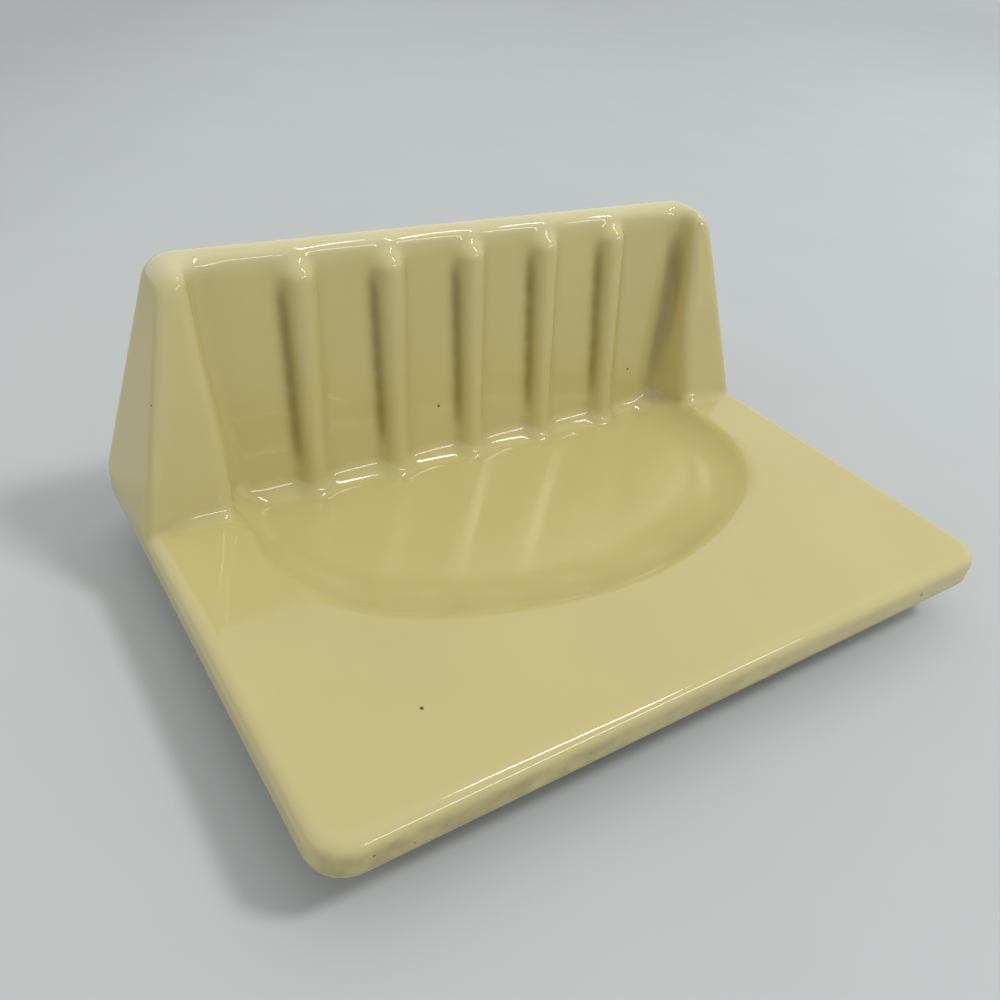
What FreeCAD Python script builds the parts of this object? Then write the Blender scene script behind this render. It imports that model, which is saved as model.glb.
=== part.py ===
import FreeCAD, Part
import math
import os

import Sketcher

# Driving sizes in millimetres. The dish lies on its back: X runs along its width, Y from its near
# edge to the tray, Z out of the wall. Tray heights are taken from the glazed face of the plate.
driving_sizes = {
    # plate that takes the place of a wall tile
    "plate_width": 152.4,
    "plate_height": 108.0,
    "plate_thickness": 7.0,
    "plate_corner_radius": 6.5,
    "face_edge_radius": 2.6,
    "back_edge_radius": 1.0,
    # recess between the end walls, with an arched near end, and the pan that it is sunk in
    "recess_margin": 26.5,
    "recess_depth": 5.2,
    "recess_slope_run": 7.4,
    "recess_side_run": 3.5,
    "recess_rim_radius": 4.0,
    "recess_floor_radius": 3.5,
    "pan_rim": 4.0,
    "pan_wall": 5.0,
    "pan_far_wall": 3.5,
    # setting ring behind the pan
    "ring_projection": 10.0,
    "ring_wall": 8.0,
    "ring_hollow_radius": 5.0,
    # tray block: depth on the plate, height, and how far each side leans in by the top
    "tray_depth": 30.8,
    "tray_height": 45.5,
    "lip_from_back": 18.7,
    "side_taper": 10.6,
    "back_taper": 6.0,
    "lip_end_radius": 5.6,
    "tray_front_radius": 3.6,
    "tray_back_radius": 5.4,
    # soap space between the end walls, down to the channel floor
    "end_wall_width": 16.7,
    "space_taper": 2.0,
    "space_corner_radius": 4.0,
    "space_rim_radius": 2.5,
    "channel_from_back": 20.4,
    "channel_taper": 7.3,
    "end_wall_return": 1.0,
    # drain ribs on the channel floor
    "rib_side_allowance": 1.0,
    "rib_nose_height": 39.5,
    "rib_foot_rise": 2.8,
    "rib_nose_rise": 3.4,
    "rib_foot_crest": 2.3,
    "rib_nose_crest": 3.0,
    "rib_fillet": 1.2,
    # how far a cutting shape runs past what it cuts
    "overrun": 5.0,
}
rib_count = 5

# Shape of the recess's arched end: its rise as a share of the recess's length, and its haunch
# radius as a share of that rise
rise_share = 0.65
haunch_share = 0.85

# Places that several sub-parts share, as formulas of the driving sizes
half_width = "(sizes.plate_width / 2)"
near_edge = "(-sizes.plate_height / 2)"
far_edge = "(sizes.plate_height / 2)"
face_height = "(sizes.ring_projection + sizes.plate_thickness)"
tray_front = f"({far_edge} - sizes.tray_depth)"
front_taper = "(sizes.tray_depth - sizes.lip_from_back)"
channel_foot = f"({far_edge} - sizes.channel_from_back)"
space_half = f"({half_width} - sizes.end_wall_width)"
end_wall_start = f"({space_half} - sizes.space_corner_radius - sizes.end_wall_return)"
rib_pitch = f"(2 * ({space_half} - sizes.rib_side_allowance) / {rib_count + 1})"
recess_near = f"({near_edge} + sizes.recess_margin)"
recess_rise = f"({rise_share} * ({channel_foot} - {recess_near}))"
recess_floor = f"({face_height} - sizes.recess_depth)"
pan_far_edge = f"({channel_foot} + sizes.pan_far_wall)"
pan_back = f"({recess_floor} - sizes.pan_wall)"

doc = FreeCAD.newDocument("soap_dish")
touch = 1e-4


def make_sheet(table):
    sheet = doc.addObject("Spreadsheet::Sheet", "sizes")
    for row, (alias, value) in enumerate(table.items(), start=1):
        sheet.set(f"A{row}", alias)
        sheet.set(f"B{row}", str(value))
        sheet.setAlias(f"B{row}", alias)
    doc.recompute()
    return sheet


def number(expression):
    return float(sheet.evalExpression(expression.replace("sizes.", "")))


def bind(feature, expressions):
    for path, expression in expressions.items():
        feature.setExpression(path, expression)
    return feature


def round_edges(body, name, wanted, radius):
    doc.recompute()
    base = body.Tip
    names = [f"Edge{i}" for i, edge in enumerate(base.Shape.Edges, start=1) if wanted(edge)]
    fillet = body.newObject("PartDesign::Fillet", name)
    fillet.Base = (base, names)
    fillet.setExpression("Radius", radius)
    doc.recompute()
    return fillet


# True for an edge whose ends all lie where the given function of a point is zero
def lies_on(edge, gap):
    return all(abs(gap(vertex.Point)) < touch for vertex in edge.Vertexes)


def is_upright(edge):
    box = edge.BoundBox
    return box.ZLength > 2 * (box.XLength + box.YLength)


def combine(kind, name, base, tool):
    result = doc.addObject(kind, name)
    result.Base = base
    result.Tool = tool
    return result


def make_box(name, expressions):
    return bind(doc.addObject("Part::Box", name), expressions)


sheet = make_sheet(driving_sizes)


# Wall plate: an apron with a rounded face edge, and a square-edged seat under the tray
def make_slab_box(name, y0, y1):
    body = doc.addObject("PartDesign::Body", name)
    box = body.newObject("PartDesign::AdditiveBox", f"{name}_box")
    bind(box, {
        "Length": "sizes.plate_width",
        "Width": f"{y1} - {y0}",
        "Height": "sizes.plate_thickness",
        "Placement.Base.x": f"-{half_width}",
        "Placement.Base.y": y0,
        "Placement.Base.z": "sizes.ring_projection",
    })
    return body


def make_plate_slab():
    near = number(near_edge)
    far = number(far_edge)
    seam = number(tray_front)
    face = number(face_height)
    back = number("sizes.ring_projection")
    apron_end = f"({tray_front} + sizes.tray_front_radius)"
    joined = number(apron_end)

    def runs_along(edge, height, left_out):
        return lies_on(edge, lambda p: p.z - height) and not lies_on(edge, lambda p: p.y - left_out)

    def is_corner(edge, along):
        return is_upright(edge) and lies_on(edge, lambda p: p.y - along)

    apron = make_slab_box("apron", near_edge, apron_end)
    round_edges(apron, "apron_corners", lambda edge: is_corner(edge, near), "sizes.plate_corner_radius")
    round_edges(apron, "apron_face_edge", lambda edge: runs_along(edge, face, joined), "sizes.face_edge_radius")
    round_edges(apron, "apron_back_edge", lambda edge: runs_along(edge, back, joined), "sizes.back_edge_radius")
    seat = make_slab_box("tray_seat", tray_front, far_edge)
    round_edges(seat, "seat_front_corners", lambda edge: is_corner(edge, seam), "sizes.tray_front_radius")
    round_edges(seat, "seat_far_corners", lambda edge: is_corner(edge, far), "sizes.tray_back_radius")
    round_edges(seat, "seat_back_edge", lambda edge: runs_along(edge, back, seam), "sizes.back_edge_radius")
    return combine("Part::Fuse", "plate_slab", apron, seat)


# Tray block: drafted all round, with a rolled top, and the soap space scooped out of its front
def make_tray_block():
    body = doc.addObject("PartDesign::Body", "tray_block")
    stood_up = FreeCAD.Rotation(FreeCAD.Vector(1, 0, 0), 90)
    block = body.newObject("PartDesign::AdditiveWedge", "drafted_block")
    block.Placement.Rotation = stood_up
    bind(block, {
        "Ymin": "0",
        "Ymax": "sizes.tray_height",
        "Xmin": f"-{half_width}",
        "Xmax": half_width,
        "Zmin": f"-{far_edge}",
        "Zmax": f"-{tray_front}",
        "X2min": f"-({half_width} - sizes.side_taper)",
        "X2max": f"{half_width} - sizes.side_taper",
        "Z2min": f"-({far_edge} - sizes.back_taper)",
        "Z2max": f"-({tray_front} + {front_taper})",
        "Placement.Base.z": face_height,
    })
    base = number(face_height)
    height = number("sizes.tray_height")
    top = base + height

    # distance of a point in front of a drafted face, given the face's foot and its taper
    def ahead_of(foot, taper):
        return lambda p: p.y - number(foot) - number(taper) * (p.z - base) / height

    front = ahead_of(tray_front, front_taper)
    rear = ahead_of(far_edge, "-sizes.back_taper")
    floor = ahead_of(channel_foot, "sizes.channel_taper")

    def on_base(edge):
        return lies_on(edge, lambda p: p.z - base)

    round_edges(body, "lip_ends",
                lambda edge: lies_on(edge, lambda p: p.z - top) and edge.BoundBox.XLength < touch,
                "sizes.lip_end_radius")
    round_edges(body, "front_outline",
                lambda edge: lies_on(edge, front) and not on_base(edge), "sizes.tray_front_radius")
    round_edges(body, "rear_outline",
                lambda edge: lies_on(edge, rear) and not on_base(edge), "sizes.tray_back_radius")
    space = body.newObject("PartDesign::SubtractiveWedge", "soap_space")
    space.Placement.Rotation = stood_up
    over = "sizes.overrun / sizes.tray_height"
    bind(space, {
        "Ymin": "-sizes.overrun",
        "Ymax": "sizes.tray_height + sizes.overrun",
        "Xmin": f"-({space_half} - sizes.space_taper * {over})",
        "Xmax": f"{space_half} - sizes.space_taper * {over}",
        "Zmin": f"-({channel_foot} - sizes.channel_taper * {over})",
        "Zmax": f"-({tray_front} - sizes.overrun)",
        "X2min": f"-({space_half} + sizes.space_taper * (1 + {over}))",
        "X2max": f"{space_half} + sizes.space_taper * (1 + {over})",
        "Z2min": f"-({channel_foot} + sizes.channel_taper * (1 + {over}))",
        "Z2max": f"-({tray_front} - sizes.overrun)",
        "Placement.Base.z": face_height,
    })
    round_edges(body, "space_corners",
                lambda edge: lies_on(edge, floor) and is_upright(edge), "sizes.space_corner_radius")
    round_edges(body, "space_rim",
                lambda edge: lies_on(edge, floor) and lies_on(edge, lambda p: p.z - top),
                "sizes.space_rim_radius")
    return body


# Sketch on one of a body's own planes, drawn piece by piece and tied up with constraints
class Drawing:
    def __init__(self, body, name, role, offset):
        self.start, self.end, self.centre = 1, 2, 3
        self.axis_x, self.axis_y = -1, -2
        self.sketch = body.newObject("Sketcher::SketchObject", name)
        plane = next(f for f in body.Origin.OriginFeatures if f.Role == role)
        self.sketch.AttachmentSupport = [(plane, "")]
        self.sketch.MapMode = "FlatFace"
        self.sketch.setExpression("AttachmentOffset.Base.z", offset)

    def arc(self, x, y, radius, start, end):
        circle = Part.Circle(FreeCAD.Vector(x, y, 0), FreeCAD.Vector(0, 0, 1), radius)
        return self.sketch.addGeometry(Part.ArcOfCircle(circle, start, end))

    def line(self, x0, y0, x1, y1):
        ends = FreeCAD.Vector(x0, y0, 0), FreeCAD.Vector(x1, y1, 0)
        return self.sketch.addGeometry(Part.LineSegment(*ends))

    def tie(self, *terms):
        return self.sketch.addConstraint(Sketcher.Constraint(*terms))

    def measure(self, expression, *terms):
        self.sketch.setExpression(f"Constraints[{self.tie(*terms)}]", expression)


# Outline with straight sides, round far corners and a near end drawn as a three-centred arch
def draw_outline(body, name, height, half, near, far, rise, corner):
    drawing = Drawing(body, name, "XY_Plane", height)
    start, end, centre = drawing.start, drawing.end, drawing.centre
    haunch = f"({rise} * {haunch_share})"
    x, y0, y1, tall, c, r = (number(size) for size in (half, near, far, rise, corner, haunch))
    crown = ((x - r) ** 2 + tall ** 2 - r ** 2) / (2 * (tall - r))
    spread = math.atan2(x - r, crown - tall)
    down = 1.5 * math.pi
    spring = y0 + tall
    right = drawing.line(x, spring, x, y1 - c)
    right_corner = drawing.arc(x - c, y1 - c, c, 0, math.pi / 2)
    back = drawing.line(x - c, y1, c - x, y1)
    left_corner = drawing.arc(c - x, y1 - c, c, math.pi / 2, math.pi)
    left = drawing.line(-x, y1 - c, -x, spring)
    left_haunch = drawing.arc(r - x, spring, r, math.pi, down - spread)
    arch = drawing.arc(0, y0 + crown, crown, down - spread, down + spread)
    right_haunch = drawing.arc(x - r, spring, r, down + spread, 2 * math.pi)
    around = [right, right_corner, back, left_corner, left, left_haunch, arch, right_haunch]
    for one, following in zip(around, around[1:] + around[:1]):
        drawing.tie("Tangent", one, end, following, start)
    drawing.tie("Vertical", right)
    drawing.tie("Horizontal", back)
    drawing.tie("Symmetric", right, start, left, end, drawing.axis_y)
    drawing.tie("Equal", right_corner, left_corner)
    drawing.tie("Equal", right_haunch, left_haunch)
    drawing.measure(corner, "Radius", right_corner, c)
    drawing.measure(haunch, "Radius", right_haunch, r)
    drawing.measure(half, "DistanceX", drawing.axis_x, start, right, start, x)
    drawing.measure(far, "DistanceY", drawing.axis_x, start, back, start, y1)
    drawing.measure(f"{near} + {rise}", "DistanceY", drawing.axis_x, start, right_haunch, centre, spring)
    return drawing.sketch


# Block behind the recess with the recess's outline, moved out by a rim
def make_outline_block(name, rim, far, corner, bottom, top):
    body = doc.addObject("PartDesign::Body", name)
    pad = body.newObject("PartDesign::Pad", f"{name}_pad")
    pad.Profile = draw_outline(body, f"{name}_outline", bottom, f"({space_half} + {rim})",
                               f"({recess_near} - {rim})", far, f"({recess_rise} + {rim})", corner)
    pad.setExpression("Length", f"{top} - {bottom}")
    return body


# Recess sunk in the pan: steep at the channel floor, sloped at its sides and its near end
def sink_recess(pan):
    depth_share = "sizes.recess_depth / sizes.tray_height"
    top = draw_outline(pan, "recess_top", face_height, space_half, recess_near, channel_foot,
                       recess_rise, "sizes.space_corner_radius")
    bottom = draw_outline(pan, "recess_bottom", recess_floor,
                          f"({space_half} - sizes.recess_side_run)",
                          f"({recess_near} + sizes.recess_slope_run)",
                          f"({channel_foot} - sizes.channel_taper * {depth_share})",
                          recess_rise, "sizes.space_corner_radius")
    sunk = pan.newObject("PartDesign::SubtractiveLoft", "recess")
    sunk.Profile = top
    sunk.Sections = [bottom]
    sunk.Ruled = True
    floor = number(recess_floor)
    face = number(face_height)
    near = number(recess_near)
    far = number(channel_foot) - number("sizes.channel_taper * " + depth_share)

    # one edge of each loop is named, and the round runs on along the smooth edges that follow it
    def is_floor_back(edge):
        return lies_on(edge, lambda p: p.z - floor) and lies_on(edge, lambda p: p.y - far)

    def is_rim_arch(edge):
        middle = edge.valueAt((edge.FirstParameter + edge.LastParameter) / 2)
        return lies_on(edge, lambda p: p.z - face) and abs(middle.y - near) < 0.01

    plain = round_edges(pan, "recess_floor_edge", is_floor_back, "sizes.recess_floor_radius")
    rounded = round_edges(pan, "recess_rim_edge", is_rim_arch, "sizes.recess_rim_radius")
    return plain, rounded


# Section across a rib: a round crest that flares into the channel floor on both sides
def draw_rib_section(body, name, along, rise, crest, half=False):
    drawing = Drawing(body, name, "XZ_Plane", f"-({along})")
    start, end, centre, axis_x = drawing.start, drawing.end, drawing.centre, drawing.axis_x
    flare = number("sizes.rib_fillet")
    radius = number(crest)
    middle = number(rise) - radius
    foot = ((flare + radius) ** 2 - (middle - flare) ** 2) ** 0.5
    turn = math.atan2(flare - middle, foot)
    right = drawing.arc(foot, flare, flare, math.pi + turn, 1.5 * math.pi)
    if half:
        dome = drawing.arc(0, middle, radius, turn, math.pi / 2)
        base = drawing.line(0, 0, foot, 0)
        stem = drawing.line(0, middle + radius, 0, 0)
        drawing.tie("Coincident", base, start, axis_x, start)
        drawing.tie("Coincident", stem, end, base, start)
        drawing.tie("Coincident", stem, start, dome, end)
        drawing.tie("Vertical", stem)
        drawing.tie("Horizontal", base)
    else:
        dome = drawing.arc(0, middle, radius, turn, math.pi - turn)
        left = drawing.arc(-foot, flare, flare, 1.5 * math.pi, 2 * math.pi - turn)
        base = drawing.line(-foot, 0, foot, 0)
        drawing.tie("Tangent", dome, end, left, end)
        drawing.tie("Tangent", left, start, base, start)
        drawing.tie("Equal", right, left)
        drawing.tie("PointOnObject", base, start, axis_x)
        drawing.tie("PointOnObject", base, end, axis_x)
    drawing.tie("Tangent", base, end, right, end)
    drawing.tie("Tangent", right, start, dome, start)
    drawing.tie("PointOnObject", dome, centre, drawing.axis_y)
    drawing.measure("sizes.rib_fillet", "Radius", right, flare)
    drawing.measure(crest, "Radius", dome, radius)
    drawing.measure(f"{rise} - {crest}", "DistanceY", axis_x, start, dome, centre, middle)
    return drawing.sketch


# Drain rib: tapers up the channel floor from inside the recess, and ends in a domed nose
def make_rib(index):
    body = doc.addObject("PartDesign::Body", f"rib_{index}")
    lean = "atan(sizes.channel_taper / sizes.tray_height)"
    nose_along = f"(sizes.rib_nose_height / cos({lean}))"
    tail_along = "(-sizes.recess_depth - sizes.pan_wall / 2)"
    drawn_out = f"({tail_along} / {nose_along})"
    tail_rise = f"(sizes.rib_foot_rise + (sizes.rib_nose_rise - sizes.rib_foot_rise) * {drawn_out})"
    tail_crest = f"(sizes.rib_foot_crest + (sizes.rib_nose_crest - sizes.rib_foot_crest) * {drawn_out})"
    nose = ("sizes.rib_nose_rise", "sizes.rib_nose_crest")
    tail_section = draw_rib_section(body, f"rib_{index}_tail", tail_along, tail_rise, tail_crest)
    nose_section = draw_rib_section(body, f"rib_{index}_top", nose_along, *nose)
    nose_half = draw_rib_section(body, f"rib_{index}_half", nose_along, *nose, half=True)
    shank = body.newObject("PartDesign::AdditiveLoft", f"rib_{index}_shank")
    shank.Profile = tail_section
    shank.Sections = [nose_section]
    shank.Ruled = True
    dome = body.newObject("PartDesign::Revolution", f"rib_{index}_dome")
    dome.Profile = nose_half
    dome.ReferenceAxis = (nose_half, ["V_Axis"])
    dome.Angle = 180
    body.Placement.Rotation = FreeCAD.Rotation(FreeCAD.Vector(1, 0, 0), 1)
    bind(body, {
        "Placement.Base.x": f"{rib_pitch} * ({index} - {(rib_count + 1) / 2})",
        "Placement.Base.y": channel_foot,
        "Placement.Base.z": face_height,
        "Placement.Rotation.Angle": f"90 deg - {lean}",
    })
    return body


# Slab-sided region that keeps one stretch of a solid
def make_region(name, x0, x1, y0, y1):
    return make_box(name, {
        "Length": f"{x1} - {x0}",
        "Width": f"{y1} - {y0}",
        "Height": f"{face_height} + 2 * sizes.tray_height",
        "Placement.Base.x": x0,
        "Placement.Base.y": y0,
    })


# Slice of the tray block between two places along its width
def make_tray_slice(name, start, end):
    region = make_region(f"{name}_region", start, end, near_edge, far_edge)
    return combine("Part::Common", name, tray_block, region)


plate_slab = make_plate_slab()
tray_block = make_tray_block()
pan_corner = "(sizes.space_corner_radius + sizes.pan_far_wall)"
pan = make_outline_block("pan", "sizes.pan_rim", pan_far_edge, pan_corner, pan_back, face_height)
pan_space = pan.Tip
plain_recess, rounded_recess = sink_recess(pan)
ring_block = make_outline_block("ring_block", "sizes.pan_rim", pan_far_edge, pan_corner, "0", pan_back)
ring_hollow = make_outline_block("ring_hollow", "(sizes.pan_rim - sizes.ring_wall)",
                                 f"({pan_far_edge} - sizes.ring_wall)", "sizes.ring_hollow_radius",
                                 "0", pan_back)

# The recess's rim is rounded in front of the tray and square under the end walls, which stand on it
rim_end = f"({tray_front} + sizes.space_rim_radius / 2)"
near_region = make_region("near_region", f"-{half_width}", half_width, near_edge, rim_end)
far_region = make_region("far_region", f"-{half_width}", half_width, rim_end, far_edge)
near_bowl = combine("Part::Common", "near_bowl", rounded_recess, near_region)
far_bowl = combine("Part::Common", "far_bowl", plain_recess, far_region)

nodes = [
    combine("Part::Cut", "wall_plate", plate_slab, pan_space),
    combine("Part::Fuse", "recess_bowl", near_bowl, far_bowl),
    combine("Part::Cut", "setting_ring", ring_block, ring_hollow),
    make_tray_slice("left_end_wall", f"-{half_width}", f"-{end_wall_start}"),
    make_tray_slice("tray_wall", f"-{end_wall_start}", end_wall_start),
    make_tray_slice("right_end_wall", end_wall_start, half_width),
]
wall_plate, recess_bowl = nodes[:2]
for index in range(1, rib_count + 1):
    above_bowl = combine("Part::Cut", f"rib_{index}_above_bowl", make_rib(index), recess_bowl)
    nodes.append(combine("Part::Cut", f"drain_rib_{index}", above_bowl, wall_plate))

doc.recompute()
for item in doc.Objects:
    if {"Invalid", "Error"} & set(item.State):
        raise RuntimeError(f"{item.Label} failed: {item.State}")

os.makedirs("parts", exist_ok=True)
for node in nodes:
    shape = node.Shape
    if shape.isNull() or not shape.isValid() or len(shape.Solids) != 1:
        raise RuntimeError(f"{node.Label} has no single valid solid")
    shape.exportStep(f"parts/{node.Label}.step")
    box = shape.optimalBoundingBox()
    print(node.Label, round(shape.Volume / 1000, 2), "cm3",
          [round(v, 2) for v in (box.XMin, box.XMax, box.YMin, box.YMax, box.ZMin, box.ZMax)])
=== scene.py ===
import math

import bpy
import numpy as np
from mathutils import Matrix, Vector


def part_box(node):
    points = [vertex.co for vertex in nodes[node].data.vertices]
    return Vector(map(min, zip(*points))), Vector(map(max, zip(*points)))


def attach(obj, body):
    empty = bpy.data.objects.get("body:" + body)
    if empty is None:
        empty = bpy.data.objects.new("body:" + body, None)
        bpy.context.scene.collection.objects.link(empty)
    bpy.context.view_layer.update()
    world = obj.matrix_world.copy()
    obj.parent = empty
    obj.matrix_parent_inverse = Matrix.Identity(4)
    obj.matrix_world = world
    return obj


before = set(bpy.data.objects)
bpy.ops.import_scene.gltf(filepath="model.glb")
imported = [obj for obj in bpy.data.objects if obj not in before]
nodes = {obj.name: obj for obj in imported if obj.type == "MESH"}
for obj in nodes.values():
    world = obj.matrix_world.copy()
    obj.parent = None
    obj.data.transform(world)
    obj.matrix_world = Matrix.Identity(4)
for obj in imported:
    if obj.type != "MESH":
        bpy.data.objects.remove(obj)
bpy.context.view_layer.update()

millimetre = 0.001
print("frame:", len(nodes), "clay members")


def boxInMillimetres(name):
    low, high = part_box(name)
    return np.array(low) / millimetre, np.array(high) / millimetre


# Where the clay members stand in the frame.
plateLow, plateHigh = boxInMillimetres("wall_plate")
trayLow, trayHigh = boxInMillimetres("tray_wall")
endWallLow = boxInMillimetres("right_end_wall")[0]
bowlLow = boxInMillimetres("recess_bowl")[0]
ribNames = sorted(name for name in nodes if name.startswith("drain_rib"))
ribBoxes = [boxInMillimetres(name) for name in ribNames]
ribMiddles = np.array([(low[0] + high[0]) / 2 for low, high in ribBoxes])

# The glazed surface, in millimetres: leans are runs over the tray's height.
coat = {
    "thickness": 0.2,
    "faceEdgeRound": 2.4,
    "nearCornerRound": 6.5,
    "farCornerRound": 5.2,
    "frontLean": 12.1,
    "sideLean": 10.6,
    "backLean": 6.0,
    "channelLean": 7.3,
    "channelHollow": 0.7,
    "spaceLean": 2.0,
    "spaceFlare": 1.8,
    "lipEndRound": 4.4,
    "lipFrontRound": 2.2,
    "lipFrontExtra": 0.4,
    "lipBackRound": 4.5,
    "wallFootFillet": 2.6,
    "endWallWidth": 16.8,
    "spaceCornerFillet": 4.2,
    "wallRim": 2.5,
    "lipRim": 1.8,
    "recessRimBlend": 1.6,
    "recessInset": 0.5,
    "panRim": 4.0,
    "archRiseShare": 0.65,
    "haunchShare": 0.85,
    "recessSlopeRun": 7.4,
    "recessSideRun": 3.5,
    "recessFloorFillet": 4.8,
    "baseFillet": 4.5,
    "ribNoseHeight": 39.5,
    "ribFootRise": 2.8,
    "ribNoseRise": 3.4,
    "ribFootCrest": 2.3,
    "ribNoseCrest": 3.0,
    "ribFillet": 2.0,
    "ribFootFillet": 2.4,
    "ribRoot": 2.0,
    "lineAboveBack": 0.75,
    "lineWave": 0.2,
    "meshStep": 0.85,
    "settleRounds": 6,
}
halfWidth = plateHigh[0]
nearEdge, farEdge = plateLow[1], plateHigh[1]
backPlane, facePlane, topPlane = plateLow[2], plateHigh[2], trayHigh[2]
trayHeight = topPlane - facePlane
trayFront, channelFoot = endWallLow[1], trayLow[1]
recessFloor = min(low[2] for low, high in ribBoxes)
recessNear = bowlLow[1] + coat["panRim"]
spaceHalf = halfWidth - coat["endWallWidth"]
archRise = coat["archRiseShare"] * (channelFoot - recessNear)
haunchRadius = coat["haunchShare"] * archRise


def roundedEdge(a, b, radius):  # where both solids are, with the edge between them rounded
    outer = np.hypot(np.maximum(a + radius, 0), np.maximum(b + radius, 0))
    return np.minimum(np.maximum(a, b), -radius) + outer


def softEdge(a, b, reach):  # the same for an edge that is nearly flat
    near = np.maximum(reach - np.abs(a - b), 0) / reach
    return np.maximum(a, b) + near ** 2 * reach / 4


def filletedJoin(a, b, radius):  # both solids together, with a fillet between them
    return -roundedEdge(-a, -b, radius)


def ease(start, end, value):
    share = np.clip((value - start) / (end - start), 0, 1)
    return share * share * (3 - 2 * share)


def blend(first, last, share):
    return first + (last - first) * share


def leaning(distance, lean, up):
    slope = lean / trayHeight
    return (distance + slope * up) / math.hypot(1, slope)


def plateOutline(x, y):
    corner = np.where(y < 0, coat["nearCornerRound"], coat["farCornerRound"])
    acrossX = np.abs(x) - halfWidth + corner
    acrossY = np.abs(y - (nearEdge + farEdge) / 2) - (farEdge - nearEdge) / 2 + corner
    outside = np.hypot(np.maximum(acrossX, 0), np.maximum(acrossY, 0))
    return outside + np.minimum(np.maximum(acrossX, acrossY), 0) - corner


def plateShape(x, y, z):
    return roundedEdge(plateOutline(x, y), z - facePlane, coat["faceEdgeRound"])


def trayShape(x, y, z):
    up = z - facePlane
    side = np.maximum(leaning(np.abs(x) - halfWidth, coat["sideLean"], up), np.abs(x) - halfWidth)
    rear = np.maximum(leaning(y - farEdge, coat["backLean"], up), y - farEdge)
    front = leaning(trayFront - y, coat["frontLean"], up)
    block = roundedEdge(side, z - topPlane, coat["lipEndRound"])
    soft = 1 - ease(0, 10, up) + ease(trayHeight - 11, trayHeight - 1, up)
    block = roundedEdge(block, front, coat["lipFrontRound"] + coat["lipFrontExtra"] * soft)
    return roundedEdge(block, rear, coat["lipBackRound"])


def fromRib(x):
    return np.min(np.abs(x[..., None] - ribMiddles), axis=-1)


def channelDepth(y, z):  # how far a point is behind the channels' plane
    return leaning(y - channelFoot, -coat["channelLean"], z - facePlane)


def soapSpace(x, y, z):  # the room between the end walls, with the arched recess below it
    up = z - facePlane
    depth = facePlane - recessFloor
    sideSlope = np.where(up < 0, coat["recessSideRun"] / depth, coat["spaceLean"] / trayHeight)
    flare = ease(trayFront, channelFoot, y) * ease(trayHeight * 0.7, 4, up)
    half = spaceHalf + sideSlope * up - coat["spaceFlare"] * flare
    slope = coat["recessSlopeRun"] / depth
    across, along = np.abs(x), y + slope * up
    haunchX = half - haunchRadius
    crownRadius = (haunchX ** 2 + archRise ** 2 - haunchRadius ** 2) / (2 * (archRise - haunchRadius))
    spring, crownMiddle = recessNear + archRise, recessNear + crownRadius
    toHaunch = np.hypot(across - haunchX, along - spring)
    toCrown = np.hypot(across, along - crownMiddle)
    onHaunch = haunchX * (along - crownMiddle) - (spring - crownMiddle) * across > 0
    arch = np.where(onHaunch, toHaunch - haunchRadius, toCrown - crownRadius)
    facingHaunch = (along - spring) / np.maximum(toHaunch, 1e-6)
    facingCrown = (along - crownMiddle) / np.maximum(toCrown, 1e-6)
    facing = np.clip(np.where(onHaunch, facingHaunch, facingCrown), -1, 1)
    steep = np.hypot(slope * facing, sideSlope * np.sqrt(1 - facing ** 2))
    outline = np.where(along >= spring, (across - half) / np.hypot(1, sideSlope), arch / np.hypot(1, steep))
    pitch = ribMiddles[1] - ribMiddles[0]
    scooped = coat["channelHollow"] * np.clip(1 - 2 * fromRib(x) / pitch, 0, 1) ** 2
    inset = coat["recessInset"] * ease(trayFront + 1, trayFront - 6, y)
    room = roundedEdge(outline + inset, channelDepth(y, z) + scooped, coat["spaceCornerFillet"])
    towardsBase = ease(channelFoot - 14, channelFoot - 5, y)
    fillet = blend(coat["recessFloorFillet"], coat["baseFillet"], towardsBase)
    return roundedEdge(room, recessFloor - z, fillet)


def ribShape(x, y, z):
    lean = math.atan2(coat["channelLean"], trayHeight)
    height = -channelDepth(y, z)
    along = (y - channelFoot) * math.sin(lean) + (z - facePlane) * math.cos(lean)
    nose = coat["ribNoseHeight"] / math.cos(lean)
    share = np.minimum(along / nose, 1)
    crest = blend(coat["ribFootCrest"], coat["ribNoseCrest"], share)
    middle = blend(coat["ribFootRise"], coat["ribNoseRise"], share) - crest
    offset = fromRib(x)
    over = np.maximum(height - middle, 0)
    under = np.maximum(-height - coat["ribRoot"], 0)
    past = np.maximum(along - nose, 0)
    return np.sqrt(offset ** 2 + over ** 2 + under ** 2 + past ** 2) - crest


def glazeField(x, y, z):  # below zero inside the glazed dish
    fromRims = np.minimum(halfWidth - np.abs(x), farEdge - y)
    footFillet = coat["wallFootFillet"] * ease(0.5, 9, fromRims) + 1e-3
    solid = filletedJoin(plateShape(x, y, z), trayShape(x, y, z), footFillet)
    wallRim = blend(coat["wallRim"], coat["lipRim"], ease(spaceHalf - 2, spaceHalf - 8, np.abs(x)))
    space = soapSpace(x, y, z)
    besideWall = ease(trayFront - 6, trayFront + 1, y)
    openRim = softEdge(solid, -space, coat["recessRimBlend"])
    shell = blend(openRim, roundedEdge(solid, -space, wallRim), besideWall)
    fillet = blend(coat["ribFillet"], coat["ribFootFillet"], ease(facePlane + 6, recessFloor + 1, z))
    return filletedJoin(shell, ribShape(x, y, z), fillet) - coat["thickness"]


def fieldAt(points):
    return glazeField(points[:, 0], points[:, 1], points[:, 2])


def slopeAt(points):
    probe = 0.02
    steps = np.eye(3) * probe
    return np.stack([fieldAt(points + step) - fieldAt(points - step) for step in steps], 1) / (2 * probe)


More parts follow.
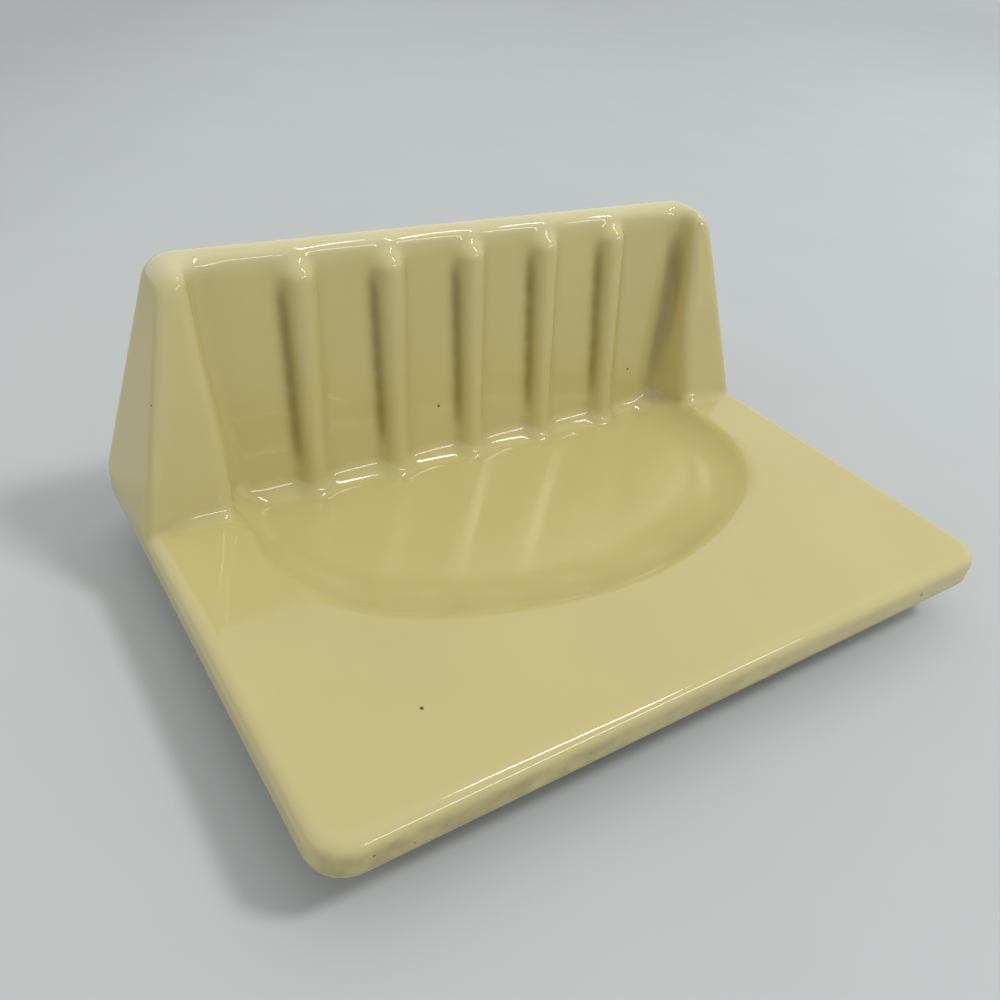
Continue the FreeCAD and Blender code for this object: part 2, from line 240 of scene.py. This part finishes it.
def bendAt(points, step):  # above zero on crests, below zero in hollows
    sides = [fieldAt(points + sign * step * axis) for axis in np.eye(3) for sign in (-1, 1)]
    return (sum(sides) - 6 * fieldAt(points)) / step ** 2


def netSurface(low, high, step):
    counts = np.ceil((high - low) / step).astype(int) + 1
    lines = [low[i] + step * np.arange(counts[i]) for i in range(3)]
    x, y, z = np.meshgrid(*lines, indexing="ij", sparse=True)
    values = glazeField(x, y, z)
    inside = values < 0
    corners = np.array([(i, j, k) for i in (0, 1) for j in (0, 1) for k in (0, 1)])
    shares = sum(inside[i:counts[0] - 1 + i, j:counts[1] - 1 + j, k:counts[2] - 1 + k].astype(np.int8)
                 for i, j, k in corners)
    mixed = (shares > 0) & (shares < 8)
    cells = np.argwhere(mixed)
    cornerValues = values[tuple((cells[:, None, :] + corners).transpose(2, 0, 1))]
    total, crossings = np.zeros((len(cells), 3)), np.zeros(len(cells))
    for first, corner in enumerate(corners):  # the twelve edges of a cell
        for axis in range(3):
            if corner[axis]:
                continue
            last = first + (4, 2, 1)[axis]
            a, b = cornerValues[:, first], cornerValues[:, last]
            crosses = (a < 0) != (b < 0)
            share = np.where(crosses, a / np.where(crosses, a - b, 1), 0)
            total += crosses[:, None] * (corner + share[:, None] * np.eye(3)[axis])
            crossings += crosses
    points = low + step * (cells + total / crossings[:, None])
    index = np.full(mixed.shape, -1)
    index[mixed] = np.arange(len(cells))
    quads = []
    for axis in range(3):  # one quad round each grid edge that the surface crosses
        u, v = (axis + 1) % 3, (axis + 2) % 3
        starts = np.take(inside, np.arange(counts[axis] - 1), axis)
        ends = np.take(inside, np.arange(1, counts[axis]), axis)
        edges = np.argwhere(starts != ends)
        within = (edges[:, [u, v]] > 0).all(1) & (edges[:, [u, v]] < counts[[u, v]] - 1).all(1)
        edges = edges[within]
        ring = []
        for du, dv in ((-1, -1), (0, -1), (0, 0), (-1, 0)):
            cell = edges.copy()
            cell[:, u] += du
            cell[:, v] += dv
            ring.append(index[tuple(cell.T)])
        quad = np.stack(ring, 1)
        facesBack = ~inside[tuple(edges.T)]
        quad[facesBack] = quad[facesBack][:, ::-1]
        quads.append(quad)
    return points, np.concatenate(quads)


def aroundEach(values, quads):  # mean of each point's neighbours in the net
    ends = np.concatenate([quads[:, [i, (i + 1) % 4]] for i in range(4)])
    starts, stops = ends.T
    count = len(values)
    total = np.bincount(starts, values[stops], count) + np.bincount(stops, values[starts], count)
    return total / np.bincount(ends.ravel(), minlength=count)


def settle(points, quads, rounds):  # evens the net out and keeps it on the glazed surface
    for _ in range(rounds):
        middle = np.stack([aroundEach(points[:, axis], quads) for axis in range(3)], 1)
        points = blend(points, middle, 0.6)
        for _ in range(2):
            slope = slopeAt(points)
            points = points - (fieldAt(points) / (slope ** 2).sum(1))[:, None] * slope
    return points


def glazeLine(x, y):  # the glaze stops a little short of the plate's back
    wave = np.sin(0.21 * x + 0.6) + 0.7 * np.sin(0.37 * y + 1.9) + 0.5 * np.sin(0.53 * (x + y))
    return backPlane + coat["lineAboveBack"] + coat["lineWave"] * wave / 2.2


def makeGlazeCoat():
    margin = 2 * coat["meshStep"]
    low = np.array([-halfWidth, nearEdge, recessFloor]) - margin
    high = np.array([halfWidth, farEdge, topPlane]) + margin
    points, quads = netSurface(low, high, coat["meshStep"])
    points = settle(points, quads, coat["settleRounds"])
    line = glazeLine(points[:, 0], points[:, 1])
    below = (plateOutline(points[:, 0], points[:, 1]) > -2) & (points[:, 2] < line)
    points[below, 2] = line[below]
    quads = quads[~below[quads].all(1)]
    used, quads = np.unique(quads, return_inverse=True)
    points, quads = points[used], quads.reshape(-1, 4)
    normals = slopeAt(points)
    normals /= np.linalg.norm(normals, axis=1)[:, None]

    mesh = bpy.data.meshes.new("glazeCoat")
    mesh.from_pydata((points * millimetre).tolist(), [], quads.tolist())
    mesh.shade_smooth()
    bend = bendAt(points, 1.2)
    crease, crest = ease(0.08, 0.5, -bend), ease(0.1, 0.6, bend)
    # painted shade: the glaze is darkened in the hollows that face left, beside the left sides of the ribs
    # and on the right end wall's inner face, where light from the right does not reach
    facesLeft = ease(0.03, 0.4, -normals[:, 0])
    height = points[:, 2]
    upTheWall = ease(topPlane - 3, topPlane - 12, height) * ease(facePlane - 1, facePlane + 8, height)
    leftShade = facesLeft * upTheWall * ease(0.06, 0.42, -bendAt(points, 1.8))
    for name, mask in (("crease", crease), ("crest", crest), ("leftShade", leftShade)):
        for _ in range(4):
            mask = blend(mask, aroundEach(mask, quads), 0.6)
        mesh.attributes.new(name, "FLOAT", "POINT").data.foreach_set("value", mask.astype(np.float32))
    piece = bpy.data.objects.new("glaze_coat", mesh)
    bpy.context.scene.collection.objects.link(piece)
    thicken = piece.modifiers.new("coatThickness", "SOLIDIFY")
    thicken.thickness = 0.8 * coat["thickness"] * millimetre
    thicken.offset = -1
    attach(piece, "root")
    print("glaze coat:", len(points), "points", len(quads), "faces")
    return piece


def addNode(tree, kind, settings=None, **inputs):
    node = tree.nodes.new(kind)
    for name, value in (settings or {}).items():
        setattr(node, name, value)
    for name, value in inputs.items():
        socket = node.inputs[int(name[1:])] if name[1:].isdigit() else node.inputs[name.replace("_", " ")]
        if isinstance(value, bpy.types.NodeSocket):
            tree.links.new(value, socket)
        else:
            socket.default_value = value
    return node


def maths(tree, operation, a, b=0.0, clamp=False):
    settings = {"operation": operation, "use_clamp": clamp}
    return addNode(tree, "ShaderNodeMath", settings, i0=a, i1=b).outputs[0]


def product(tree, *values):
    total = values[0]
    for value in values[1:]:
        total = maths(tree, "MULTIPLY", total, value)
    return total


def axesOf(tree, vector):
    return addNode(tree, "ShaderNodeSeparateXYZ", i0=vector).outputs


def mixColour(tree, share, first, last):
    return addNode(tree, "ShaderNodeMix", {"data_type": "RGBA"}, i0=share, i6=first, i7=last).outputs[2]


def mapRange(tree, value, fromLow, fromHigh, toLow=0.0, toHigh=1.0, smooth=True):
    node = addNode(tree, "ShaderNodeMapRange", {"interpolation_type": "SMOOTHSTEP" if smooth else "LINEAR"},
                   i0=value, i1=float(fromLow), i2=float(fromHigh), i3=toLow, i4=toHigh)
    return node.outputs[0]


def startGroup(name, inputs, outputs):
    tree = bpy.data.node_groups.new(name, "ShaderNodeTree")
    for socketName, kind, value in inputs:
        socket = tree.interface.new_socket(socketName, in_out="INPUT", socket_type=kind)
        socket.default_value = value
    for socketName, kind in outputs:
        tree.interface.new_socket(socketName, in_out="OUTPUT", socket_type=kind)
    return tree, tree.nodes.new("NodeGroupInput").outputs, tree.nodes.new("NodeGroupOutput").inputs


def placeGroup(tree, group, **inputs):
    return addNode(tree, "ShaderNodeGroup", {"node_tree": group}, **inputs).outputs


floatSocket, vectorSocket = "NodeSocketFloat", "NodeSocketVector"


def makeMottleGroup():  # slow cloudy change, from 0 to 1, with its size in millimetres
    tree, given, out = startGroup(
        "mottle", [("Position", vectorSocket, (0, 0, 0)), ("Size", floatSocket, 20.0),
                   ("Contrast", floatSocket, 1.0)], [("Mask", floatSocket)])
    scale = maths(tree, "DIVIDE", 1.0, given["Size"])
    noise = addNode(tree, "ShaderNodeTexNoise", i0=given["Position"], Scale=scale, Detail=3.0)
    away = maths(tree, "SUBTRACT", noise.outputs[0], 0.5)
    spread = maths(tree, "MULTIPLY", away, maths(tree, "MULTIPLY", given["Contrast"], 2.0))
    tree.links.new(maths(tree, "ADD", spread, 0.5, clamp=True), out["Mask"])
    return tree


def makeSpeckGroup():  # scattered small spots: one cell in a few carries one
    tree, given, out = startGroup(
        "specks", [("Position", vectorSocket, (0, 0, 0)), ("Spacing", floatSocket, 10.0),
                   ("Radius", floatSocket, 0.3), ("Share", floatSocket, 0.3)], [("Mask", floatSocket)])
    scale = maths(tree, "DIVIDE", 1.0, given["Spacing"])
    cells = addNode(tree, "ShaderNodeTexVoronoi", i0=given["Position"], Scale=scale, Randomness=1.0)
    distance = maths(tree, "MULTIPLY", cells.outputs["Distance"], given["Spacing"])
    parts = addNode(tree, "ShaderNodeSeparateColor", i0=cells.outputs["Color"])
    chosen = maths(tree, "LESS_THAN", parts.outputs[0], given["Share"])
    radius = maths(tree, "MULTIPLY", given["Radius"], mapRange(tree, parts.outputs[1], 0, 1, 0.4, 1.0))
    spot = mapRange(tree, maths(tree, "DIVIDE", distance, radius), 0.6, 1.0, 1.0, 0.0)
    tree.links.new(maths(tree, "MULTIPLY", spot, chosen), out["Mask"])
    return tree


mottleGroup = makeMottleGroup()
speckGroup = makeSpeckGroup()


def startMaterial(name):
    material = bpy.data.materials.new(name)
    material.use_nodes = True
    tree = material.node_tree
    shader = tree.nodes["Principled BSDF"]
    place = addNode(tree, "ShaderNodeTexCoord").outputs["Object"]
    position = addNode(tree, "ShaderNodeVectorMath", {"operation": "SCALE"}, i0=place, Scale=1 / millimetre)
    return material, tree, shader, position.outputs[0]


glaze = {
    "body": (0.575, 0.495, 0.205, 1),
    # dark olive of glaze gathered thick in creases, also used as painted shade
    "pooledAndShaded": (0.20, 0.145, 0.008, 1),
    "paleGlaze": (0.72, 0.68, 0.43, 1),
    "speck": (0.10, 0.06, 0.03, 1),
    "wear": (0.19, 0.145, 0.06, 1),
    "cloud": {"Size": 38.0, "Contrast": 0.8},
    "peel": {"Size": 5.0, "Contrast": 1.0},
    "sheen": {"Size": 22.0, "Contrast": 1.2},
    "dirt": {"Size": 5.0, "Contrast": 2.0},
    "specks": {"Spacing": 9.0, "Radius": 0.42, "Share": 0.4},
    "pits": {"Spacing": 2.4, "Radius": 0.42, "Share": 0.45},
    "creasePooling": 0.2,
    # strength of the painted shade in the left-facing hollows
    "leftShadeStrength": 0.95,
    "crestThinning": 0.2,
    # how much paler the glaze turns towards the top of the lip, and over what height
    "lipTopPaling": 0.5,
    "lipTopPaleHeight": 5.0,
    "peelHeight": 0.012,
    "speckDent": -3.0,
    "roughness": 0.06,
    "bowlRoughness": 0.2,
}


def glazeColour(tree, position, poolAndShadeShare, crest):
    # the first share darkens the glaze towards thick creased glaze and painted shade, the second makes it
    # paler
    cloud = placeGroup(tree, mottleGroup, Position=position, **glaze["cloud"])["Mask"]
    body = mixColour(tree, cloud, [0.955 * c for c in glaze["body"]], [1.045 * c for c in glaze["body"]])
    pooledAndShaded = mixColour(tree, poolAndShadeShare, body, glaze["pooledAndShaded"])
    paleGlaze = mixColour(tree, crest, pooledAndShaded, glaze["paleGlaze"])
    specks = placeGroup(tree, speckGroup, Position=position, **glaze["specks"])["Mask"]
    return mixColour(tree, specks, paleGlaze, glaze["speck"]), specks


def edgeWear(tree, position):  # pits and dirt on the near edge, most at its left end
    x, y, z = axesOf(tree, position)
    below = mapRange(tree, z, facePlane - 1, facePlane - 3)
    near = mapRange(tree, y, nearEdge + 6, nearEdge + 1)
    atLeft = mapRange(tree, x, halfWidth, -halfWidth, 0.15, 1.0)
    pits = placeGroup(tree, speckGroup, Position=position, **glaze["pits"])["Mask"]
    dirt = placeGroup(tree, mottleGroup, Position=position, **glaze["dirt"])["Mask"]
    soiled = maths(tree, "ADD", product(tree, pits, 0.9), product(tree, dirt, 0.4), clamp=True)
    return product(tree, below, near, atLeft, soiled)


def bowlWear(tree, position):  # soap has dulled the glaze inside the bowl
    x, y, z = axesOf(tree, position)
    below = mapRange(tree, z, facePlane - 0.4, facePlane - 2)
    between = mapRange(tree, maths(tree, "ABSOLUTE", x), halfWidth - 5, halfWidth - 9)
    pastEdge = mapRange(tree, y, nearEdge + 12, nearEdge + 18)
    beforeRibs = mapRange(tree, y, -(nearEdge + 24), -(nearEdge + 30))
    return product(tree, below, between, pastEdge, beforeRibs)


def makeGlaze():
    material, tree, shader, position = startMaterial("butterGlaze")
    crease, crest, leftShade = (addNode(tree, "ShaderNodeAttribute", {"attribute_name": name}).outputs["Fac"]
                          for name in ("crease", "crest", "leftShade"))
    # thick glaze in creases, and painted shade in the left-facing hollows
    poolingAndShade = maths(tree, "MAXIMUM", product(tree, crease, glaze["creasePooling"]),
                    product(tree, leftShade, glaze["leftShadeStrength"]))
    # paler towards the top of the lip
    paleLipTop = mapRange(tree, axesOf(tree, position)[2], topPlane - glaze["lipTopPaleHeight"], topPlane,
                       0.0, glaze["lipTopPaling"])
    thinningAndPaleTop = maths(tree, "MAXIMUM", product(tree, crest, glaze["crestThinning"]), paleLipTop)
    colour, specks = glazeColour(tree, position, poolingAndShade, thinningAndPaleTop)
    colour = mixColour(tree, edgeWear(tree, position), colour, glaze["wear"])
    peel = placeGroup(tree, mottleGroup, Position=position, **glaze["peel"])["Mask"]
    dents = product(tree, specks, glaze["speckDent"])
    height = product(tree, maths(tree, "ADD", peel, dents), glaze["peelHeight"] * millimetre)
    bump = addNode(tree, "ShaderNodeBump", Height=height, Distance=1.0)
    sheen = placeGroup(tree, mottleGroup, Position=position, **glaze["sheen"])["Mask"]
    uneven = mapRange(tree, sheen, 0, 1, 0.7 * glaze["roughness"], 1.5 * glaze["roughness"])
    dulled = product(tree, bowlWear(tree, position), glaze["bowlRoughness"])
    tree.links.new(colour, shader.inputs["Base Color"])
    tree.links.new(maths(tree, "MAXIMUM", uneven, dulled), shader.inputs["Roughness"])
    tree.links.new(bump.outputs[0], shader.inputs["Normal"])
    shader.inputs["IOR"].default_value = 1.52
    return material


clay = {
    "body": (0.66, 0.60, 0.48, 1),
    "dark": (0.52, 0.45, 0.33, 1),
    "iron": (0.16, 0.09, 0.05, 1),
    "cloud": {"Size": 14.0, "Contrast": 1.4},
    "grain": {"Size": 0.7, "Contrast": 1.0},
    "ironSpots": {"Spacing": 6.0, "Radius": 0.4, "Share": 0.3},
    "roughness": 0.8,
    "grainHeight": 0.06,
}


def clayColour(tree, position):
    cloud = placeGroup(tree, mottleGroup, Position=position, **clay["cloud"])["Mask"]
    body = mixColour(tree, cloud, clay["dark"], clay["body"])
    iron = placeGroup(tree, speckGroup, Position=position, **clay["ironSpots"])["Mask"]
    return mixColour(tree, iron, body, clay["iron"])


def clayBump(tree, position):
    grain = placeGroup(tree, mottleGroup, Position=position, **clay["grain"])["Mask"]
    height = product(tree, grain, clay["grainHeight"] * millimetre)
    return addNode(tree, "ShaderNodeBump", Height=height, Distance=1.0).outputs[0]


def makeBareClay():
    material, tree, shader, position = startMaterial("bareClay")
    tree.links.new(clayColour(tree, position), shader.inputs["Base Color"])
    tree.links.new(clayBump(tree, position), shader.inputs["Normal"])
    shader.inputs["Roughness"].default_value = clay["roughness"]
    return material


def makeGlazedClay():  # clay members: glazed above the glaze line, bare behind it
    material, tree, shader, position = startMaterial("glazedClay")
    line = backPlane + coat["lineAboveBack"]
    normal = addNode(tree, "ShaderNodeNewGeometry").outputs["Normal"]
    notBack = mapRange(tree, axesOf(tree, normal)[2], -0.6, -0.4)
    above = product(tree, mapRange(tree, axesOf(tree, position)[2], line - 0.6, line - 0.3), notBack)
    glazed = glazeColour(tree, position, 0.0, 0.0)[0]
    roughness = mapRange(tree, above, 0, 1, clay["roughness"], glaze["roughness"])
    tree.links.new(mixColour(tree, above, clayColour(tree, position), glazed), shader.inputs["Base Color"])
    tree.links.new(roughness, shader.inputs["Roughness"])
    tree.links.new(clayBump(tree, position), shader.inputs["Normal"])
    return material


def dress(piece, material):
    piece.data.materials.clear()
    piece.data.materials.append(material)


bareClay, glazedClay, butterGlaze = makeBareClay(), makeGlazedClay(), makeGlaze()
for name, node in nodes.items():
    dress(node, bareClay if name == "setting_ring" else glazedClay)
glazeCoat = makeGlazeCoat()
dress(glazeCoat, butterGlaze)
print("materials:", len(bpy.data.materials))

studio = {
    "floorSize": 8.0,
    "floor": (0.535, 0.565, 0.565),
    "floorCloud": {"Size": 60.0, "Contrast": 0.8},
    "floorRoughness": 0.6,
    "background": (0.53, 0.57, 0.58, 1),
    "skyLevel": 0.5,
    "skyFrontToBack": (0.7, 1.2),
    "mirrored": (0.88, 0.91, 0.92, 1),
    # direction to the lamp, direction of its width, distance, width, height, watts, mirrored or not
    "lamps": {
        "topSoftbox": ((0.10, 0.10, 1.0), (1, 0, 0), 1.6, 1.8, 1.8, 4.4, False),
        "keySoftbox": ((0.42, -0.36, 0.83), (0.36, 0.42, 0), 1.6, 0.3, 0.3, 10.5, False),
        "leftFill": ((-0.85, -0.25, 0.45), (0.25, -0.85, 0), 1.6, 1.2, 1.2, 3.2, False),
        "frontBand": ((0.45, -0.85, 0.47), (1, 0.5, 0), 1.5, 1.0, 0.12, 3.5, True),
        "highStrip": ((0.46, -0.28, 0.84), (0.31, -0.33, -0.29), 1.5, 0.6, 0.12, 4.0, True),
    },
}


def makeFloor():
    size = studio["floorSize"] / 2
    mesh = bpy.data.meshes.new("floor")
    corners = [(-size, -size, 0), (size, -size, 0), (size, size, 0), (-size, size, 0)]
    mesh.from_pydata(corners, [], [(0, 1, 2, 3)])
    floor = bpy.data.objects.new("floor", mesh)
    bpy.context.scene.collection.objects.link(floor)
    material, tree, shader, position = startMaterial("paleFloor")
    cloud = placeGroup(tree, mottleGroup, Position=position, **studio["floorCloud"])["Mask"]
    # painted light and shade: the floor is darker to the left of the dish, paler to its right, and paler
    # far away where the lamps' light falls off
    x, y, z = axesOf(tree, position)
    across = maths(tree, "SUBTRACT", product(tree, x, 0.83), product(tree, y, 0.54))
    away = addNode(tree, "ShaderNodeVectorMath", {"operation": "LENGTH"}, i0=position).outputs["Value"]
    level = product(
        tree, mapRange(tree, across, -330, -130, 0.8, 1.0), mapRange(tree, across, 100, 400, 1.0, 1.1),
        mapRange(tree, away, 900, 3500, 1.0, 1.65), mapRange(tree, cloud, 0, 1, 0.985, 1.015))
    shade = addNode(tree, "ShaderNodeVectorMath", {"operation": "SCALE"}, i0=studio["floor"], Scale=level)
    tree.links.new(shade.outputs[0], shader.inputs["Base Color"])
    shader.inputs["Roughness"].default_value = studio["floorRoughness"]
    dress(floor, material)


def makeLamps():
    middle = Vector((0, 0, 0.02))
    for name, (direction, along, distance, width, height, power, mirrored) in studio["lamps"].items():
        data = bpy.data.lights.new(name, "AREA")
        data.shape = "RECTANGLE"
        data.size, data.size_y, data.energy = width, height, power
        lamp = bpy.data.objects.new(name, data)
        back = Vector(direction).normalized()
        up = back.cross(Vector(along)).normalized()
        lamp.matrix_world = Matrix((up.cross(back), up, back)).transposed().to_4x4()
        lamp.location = middle + distance * back
        lamp.visible_glossy, lamp.visible_diffuse = mirrored, not mirrored
        bpy.context.scene.collection.objects.link(lamp)


def makeSky():
    world = bpy.data.worlds.new("softStudio")
    bpy.context.scene.world = world
    world.use_nodes = True
    tree = world.node_tree
    tree.nodes.clear()
    direction = addNode(tree, "ShaderNodeTexCoord").outputs["Generated"]
    low, high = (share * studio["skyLevel"] for share in studio["skyFrontToBack"])
    level = mapRange(tree, axesOf(tree, direction)[1], -1, 1, low, high, smooth=False)
    sky = addNode(tree, "ShaderNodeBackground", Color=(1, 1, 1, 1), Strength=level).outputs[0]
    shown = addNode(tree, "ShaderNodeBackground", Color=studio["background"]).outputs[0]
    mirrored = addNode(tree, "ShaderNodeBackground", Color=studio["mirrored"]).outputs[0]
    path = addNode(tree, "ShaderNodeLightPath").outputs
    seen = maths(tree, "MAXIMUM", path["Is Camera Ray"], path["Is Transmission Ray"])
    unseen = addNode(tree, "ShaderNodeMixShader", i0=path["Is Glossy Ray"], i1=sky, i2=mirrored).outputs[0]
    mixed = addNode(tree, "ShaderNodeMixShader", i0=seen, i1=unseen, i2=shown)
    addNode(tree, "ShaderNodeOutputWorld", Surface=mixed.outputs[0])


shot = {
    "place": (-105.2, -119.8, 125.6),
    "aim": (-9.0, 6.2, 17.0),
    "roll": 7.41,
    "lens": 33.04,
    "sensor": 36.0,
}


def makeCamera():
    data = bpy.data.cameras.new("photoView")
    data.lens, data.sensor_width = shot["lens"], shot["sensor"]
    data.clip_start = 0.01
    camera = bpy.data.objects.new("photoView", data)
    place, aim = Vector(shot["place"]) * millimetre, Vector(shot["aim"]) * millimetre
    camera.location = place
    turn = (aim - place).to_track_quat("-Z", "Y").to_matrix()
    camera.rotation_euler = (turn @ Matrix.Rotation(math.radians(shot["roll"]), 3, "Z")).to_euler()
    bpy.context.scene.collection.objects.link(camera)
    bpy.context.scene.camera = camera


makeFloor()
makeLamps()
makeSky()
makeCamera()
bpy.context.scene.view_settings.view_transform = "Standard"
print("studio: floor,", len(studio["lamps"]), "lamps, sky and camera")
